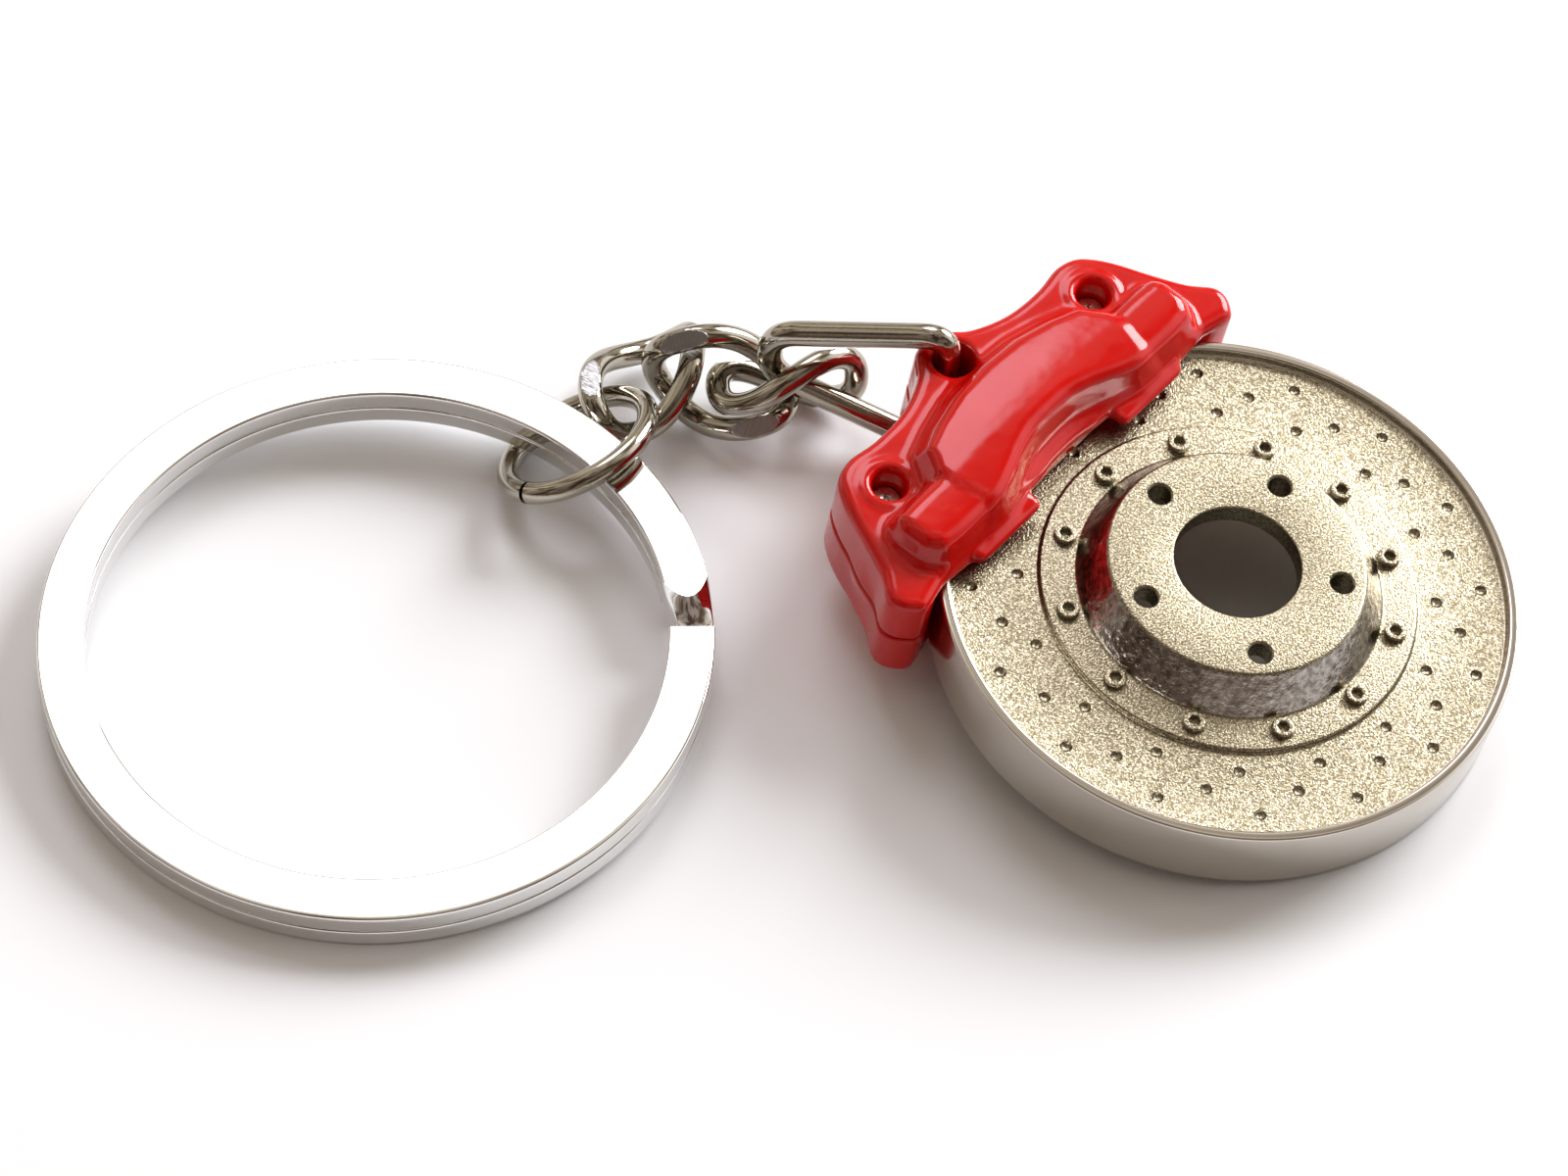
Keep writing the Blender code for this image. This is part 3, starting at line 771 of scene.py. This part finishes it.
def settle(points, field, rounds=3, reach=0.02):
    """Moves the points onto the field's zero surface."""
    for _ in range(rounds):
        value = field(*points.T)
        slope = np.stack([
            (field(*(points + np.eye(3)[axis] * reach).T) - value) / reach for axis in range(3)
        ], -1)
        slope_squared = np.maximum((slope**2).sum(1), 0.2)
        move = slope * (value / slope_squared)[:, None]
        length = np.linalg.norm(move, axis=1)[:, None]
        points = points - move * np.minimum(1, CASTING_CELL * 0.5 / np.maximum(length, 1e-9))
    return points


def caliper_half(name, side, material):
    low = np.array((-13.7, 8.8, -0.2))
    high = np.array((13.7, 20.1, 5.4))
    cells = ((high - low) / CASTING_CELL).astype(int) + 1
    x, y, z = (low[i] + np.arange(cells[i]) * CASTING_CELL for i in range(3))
    field = caliper_field(x[:, None, None], y[None, :, None], z[None, None, :], side > 0)
    points, faces = net_surface(field, low, CASTING_CELL)
    points = settle(points, lambda px, py, pz: caliper_field(px, py, pz, side > 0))
    points[:, 2] *= side
    mesh = new_mesh(name, points, faces.tolist())
    smooth_shading(mesh, 60)
    return piece(name, mesh, caliper_place(), "caliper", name.replace("_piece", ""), material)


def cross_cutter(turn, top):
    """One bar of the cross recess, turned about the screw's axis."""
    work = bmesh.new()
    bmesh.ops.create_cone(
        work, cap_ends=True, segments=4, radius1=0.05 * MM, radius2=0.16 * MM, depth=0.5 * MM
    )
    square = Matrix.Rotation(math.radians(45), 4, "Z")
    bmesh.ops.scale(work, vec=(3.4, 1.0, 1.0), space=square, verts=work.verts)
    turned = Matrix.Rotation(math.radians(turn), 3, "Z")
    bmesh.ops.rotate(work, cent=(0, 0, 0), matrix=turned, verts=work.verts)
    bmesh.ops.translate(work, verts=work.verts, vec=Vector((0, 0, top - 0.02)) * MM)
    mesh = bpy.data.meshes.new("cross")
    work.to_mesh(mesh)
    work.free()
    return mesh


def screw(name, x, material):
    """A cross-headed screw seated in the counterbore."""
    seat = COUNTERBORE_FLOOR + 0.03
    top = seat + SCREW_HEAD_H
    profile = [
        (0.001, SCREW_TIP_Z), (SCREW_SHANK_R * 0.5, SCREW_TIP_Z), (SCREW_SHANK_R, SCREW_TIP_Z + 0.5),
        (SCREW_SHANK_R, seat), (SCREW_HEAD_R, seat), (SCREW_HEAD_R, top - 0.12), (0.001, top),
    ]
    points, faces = lathe(rounded(profile, 0.08, 3), 48)
    mesh = new_mesh(name, points, faces)
    for turn in (40, 130):
        mesh = cut(mesh, [cross_cutter(turn, top)])
    smooth_shading(mesh, 35)
    matrix = caliper_place() @ shift((x, SCREW_Y, 0))
    return piece(name, mesh, matrix, "caliper", name.replace("_piece", ""), material)


# ---------------------------------------------------------------- split ring


def strip_turn(turn, across):
    """The turn that a row of points reaches at a place across the strip, from -1 at its inner edge to 1 at
    its outer one. The row at RAMP_FROM bows forward along the tongue that the flat top ends in."""
    bow = np.interp(turn, (RAMP_FROM - 8, RAMP_FROM, RAMP_TO), (0, 1, 0))
    return turn + bow * TONGUE * (1.0 - across * across)


def strip_level(turn, across):
    """Height of the strip's underside, in pitches, after a turn in degrees."""
    start = strip_turn(RAMP_FROM, across)
    t = min(max((turn - start) / (RAMP_TO - start), 0.0), 1.0)
    return (1.0 - t) ** 2


def strip_section():
    """Section of the strip as (radius, height) points, with points along its flats to bend at."""
    corners = rounded([(RING_IN, 0), (RING_OUT, 0), (RING_OUT, STRIP_T), (RING_IN, STRIP_T)], STRIP_EDGE, 5)
    section = []
    for (ar, az), (br, bz) in zip(corners, corners[1:] + corners[:1]):
        steps = max(1, round(math.hypot(br - ar, bz - az) / STRIP_SPACING))
        section += [(ar + (br - ar) * i / steps, az + (bz - az) * i / steps) for i in range(steps)]
    return section


def split_ring(material):
    turns = np.concatenate([
        np.arange(0.0, RAMP_FROM - 8, 2.0), np.linspace(RAMP_FROM - 8, RAMP_FROM, 12)[:-1],
        np.linspace(RAMP_FROM, RAMP_TO, 40), np.arange(361.0, STRIP_END, 2.0), [STRIP_END],
    ])
    section = strip_section()
    middle, half = (RING_IN + RING_OUT) / 2, (RING_OUT - RING_IN) / 2
    points = []
    for turn in turns:
        pinch = NECK_PINCH * math.exp(-(((turn - NECK_TURN) / NECK_SPREAD) ** 2))
        for r, z in section:
            across = (r - middle) / half
            at = strip_turn(turn, across)
            rise = TURN_PITCH * strip_level(at, across)
            points.append((*polar(r + pinch * (1 - across) / 2, STRIP_START - at), z + rise))
    count = len(section)
    faces = grid_faces(len(turns), count, False)
    faces += [tuple(range(count)), tuple(range(len(points) - count, len(points)))]
    mesh = new_mesh("split_ring_piece", points, faces)
    smooth_shading(mesh, 28)
    name = "split_ring"
    return piece(name + "_piece", mesh, ring_place(), name, name, material)


# ---------------------------------------------------------------- chain


def link_path(count):
    """An oval of wire, twisted about its long axis."""
    angle = 2 * math.pi * np.arange(count) / count
    along, across = np.cos(angle), np.sin(angle)
    across = np.copysign(np.abs(across) ** LINK_SQUARENESS, across) * LINK_HALF_WIDTH
    twist = math.radians(LINK_TWIST) * along
    return np.stack([LINK_HALF_LENGTH * along, across * np.cos(twist), across * np.sin(twist)], -1)


def even(path, count):
    """The closed path again, with its points the same distance apart."""
    path = np.asarray(path, float)
    path = np.vstack([path, path[:1]])
    run = np.concatenate([[0], np.cumsum(np.linalg.norm(np.diff(path, axis=0), axis=1))])
    at = np.linspace(0, run[-1], count, endpoint=False)
    return np.stack([np.interp(at, run, path[:, axis]) for axis in range(3)], -1)


def softened(path, rounds):
    """The closed path with each point drawn towards its neighbours, several times over."""
    for _ in range(rounds):
        path = path * 0.5 + (np.roll(path, 1, 0) + np.roll(path, -1, 0)) * 0.25
    return path


def chain_link(name, material):
    path = softened(even(link_path(600), 160), 6)
    points, faces = tube(path, CHAIN_WIRE_R, True)
    points[:, 2] = np.clip(points[:, 2], -LINK_FLAT_Z, LINK_FLAT_Z)
    mesh = new_mesh(name + "_piece", points, faces)
    smooth_shading(mesh, 25)
    return piece(name + "_piece", mesh, chain_place(*LINK_POSES[name]), name, name, material)


def jump_ring(material):
    angle = np.radians(JUMP_GAP_AT + JUMP_GAP / 2 + np.linspace(0, 360 - JUMP_GAP, 161))
    path = np.stack([JUMP_HALF_LENGTH * np.cos(angle), JUMP_HALF_WIDTH * np.sin(angle), 0 * angle], -1)
    points, faces = tube(path, JUMP_WIRE_R, False)
    mesh = new_mesh("jump_ring_piece", points, faces)
    smooth_shading(mesh, 50)
    name = "jump_ring"
    return piece(name + "_piece", mesh, chain_place(*JUMP_POSE), name, name, material)


def long_link(material):
    far, end = LONG_LINK_LENGTH, LONG_LINK_END
    corners = [(0, 0, LONG_LINK_ABOVE), (0, 0, -LONG_LINK_BELOW), (far, 0, -end), (far, 0, end)]
    path = softened(even(rounded(corners, LONG_LINK_BEND, 12), 200), 8)
    points, faces = tube(path, WIRE_R, True)
    mesh = new_mesh("long_link_piece", points, faces)
    smooth_shading(mesh, 50)
    matrix = chain_place(*LONG_LINK_POSE)
    return piece("long_link_piece", mesh, matrix, "long_link", "long_link", material)


# ---------------------------------------------------------------- studio


def camera():
    pitch, roll = math.radians(CAMERA_PITCH), math.radians(CAMERA_ROLL)
    forward = Vector((0, math.cos(pitch), -math.sin(pitch)))
    right = Vector((1, 0, 0))
    up = right.cross(forward)
    turned_right = math.cos(roll) * right + math.sin(roll) * up
    turned_up = math.cos(roll) * up - math.sin(roll) * right
    data = bpy.data.cameras.new("camera")
    data.lens = FOCAL_PX / FRAME_W * data.sensor_width
    data.clip_start = 0.01
    data.clip_end = 20
    obj = bpy.data.objects.new("camera", data)
    bpy.context.scene.collection.objects.link(obj)
    turn = Matrix((turned_right, turned_up, -forward)).transposed().to_4x4()
    obj.matrix_world = Matrix.Translation(CAMERA_AT * MM) @ turn
    bpy.context.scene.camera = obj


def floor():
    half = 1.5
    mesh = bpy.data.meshes.new("floor")
    corners = [(-half, -half, 0), (half, -half, 0), (half, half, 0), (-half, half, 0)]
    mesh.from_pydata(corners, [], [(0, 1, 2, 3)])
    obj = bpy.data.objects.new("floor", mesh)
    bpy.context.scene.collection.objects.link(obj)
    n = Nodes("floor")
    n.place = n.add("ShaderNodeTexCoord").outputs["Object"]
    tone = n.mix(n.noise(8.0), (0.90, 0.905, 0.93, 1), (0.925, 0.935, 0.96, 1))
    n.feed(n.shader.inputs["Base Color"], tone)
    n.shader.inputs["Roughness"].default_value = 0.7
    n.shader.inputs["Specular IOR Level"].default_value = 0.2
    mesh.materials.append(n.material)


def area_light(name, at, size, power, colour):
    data = bpy.data.lights.new(name, "AREA")
    data.shape = "DISK"
    data.size = size
    data.energy = power
    data.color = colour
    obj = bpy.data.objects.new(name, data)
    bpy.context.scene.collection.objects.link(obj)
    obj.location = at
    obj.rotation_mode = "QUATERNION"
    obj.rotation_quaternion = (-Vector(at)).to_track_quat("-Z", "Y")


def world():
    """A dim warm room for the metal to reflect, with a bright window on its far side and a weaker one to
    the right. The camera sees a plain backdrop in its place."""
    made = bpy.data.worlds.new("studio")
    bpy.context.scene.world = made
    made.use_nodes = True
    tree = made.node_tree
    tree.nodes.clear()

    def add(kind, **settings):
        node = tree.nodes.new(kind)
        for key, value in settings.items():
            setattr(node, key, value)
        return node

    def feed(socket, value):
        if isinstance(value, bpy.types.NodeSocket):
            tree.links.new(value, socket)
        else:
            socket.default_value = value

    def share(value, low, high):
        node = add("ShaderNodeMapRange", interpolation_type="SMOOTHSTEP")
        for socket, given in zip(node.inputs, (value, low, high)):
            feed(socket, given)
        return node.outputs[0]

    def mixed(factor, a, b):
        node = add("ShaderNodeMix", data_type="RGBA")
        feed(node.inputs["Factor"], factor)
        feed(node.inputs["A"], a)
        feed(node.inputs["B"], b)
        return node.outputs["Result"]

    def shaded(colour, by):
        node = add("ShaderNodeMix", data_type="RGBA", blend_type="MULTIPLY")
        feed(node.inputs["Factor"], 1.0)
        feed(node.inputs["A"], colour)
        feed(node.inputs["B"], by)
        return node.outputs["Result"]

    direction = add("ShaderNodeTexCoord").outputs["Generated"]

    def lobe(towards, inner, outer):
        """1 within the inner angle of a direction, 0 beyond the outer one, in degrees."""
        dot = add("ShaderNodeVectorMath", operation="DOT_PRODUCT")
        feed(dot.inputs[0], direction)
        feed(dot.inputs[1], Vector(towards).normalized())
        return share(dot.outputs["Value"], math.cos(math.radians(outer)), math.cos(math.radians(inner)))

    parts = add("ShaderNodeSeparateXYZ")
    feed(parts.inputs[0], direction)
    room = mixed(share(parts.outputs[1], -0.5, 0.25), ROOM_NEAR, ROOM_FAR)
    room = mixed(share(parts.outputs[2], 0.0, 0.35), ROOM_LOW, room)
    clutter = add("ShaderNodeTexNoise")
    feed(clutter.inputs["Vector"], direction)
    feed(clutter.inputs["Scale"], 3.2)
    feed(clutter.inputs["Detail"], 2.0)
    pale = share(clutter.outputs["Fac"], 0.38, 0.62)
    room = mixed(pale, shaded(room, CLUTTER_DARK), shaded(room, CLUTTER_PALE))
    room = mixed(lobe(WINDOW_TOWARDS, *WINDOW_EDGE), room, WINDOW)
    room = mixed(lobe(SIDE_TOWARDS, *SIDE_EDGE), room, SIDE_WINDOW)
    reflected = add("ShaderNodeBackground")
    feed(reflected.inputs[0], room)
    plain = add("ShaderNodeBackground")
    feed(plain.inputs[0], BACKDROP)
    pick = add("ShaderNodeMixShader")
    feed(pick.inputs[0], add("ShaderNodeLightPath").outputs["Is Camera Ray"])
    feed(pick.inputs[1], reflected.outputs[0])
    feed(pick.inputs[2], plain.outputs[0])
    out = add("ShaderNodeOutputWorld")
    feed(out.inputs[0], pick.outputs[0])


def main():
    steel = plated_wire("plated_wire", False)
    ground_steel = plated_wire("ground_wire", True)
    red = red_paint()
    zinc = zinc_screw()
    brake_disc(nickel_casting())
    caliper_half("caliper_front_piece", 1, red)
    caliper_half("caliper_rear_piece", -1, red)
    screw("screw_left_piece", -SCREW_X, zinc)
    screw("screw_right_piece", SCREW_X, zinc)
    split_ring(polished_steel())
    for name in LINK_POSES:
        chain_link(name, ground_steel)
    jump_ring(steel)
    long_link(steel)
    floor()
    camera()
    world()
    bpy.context.scene.view_settings.view_transform = "Standard"
    area_light("key", KEY_AT, KEY_SIZE, KEY_POWER, KEY_COLOUR)


main()
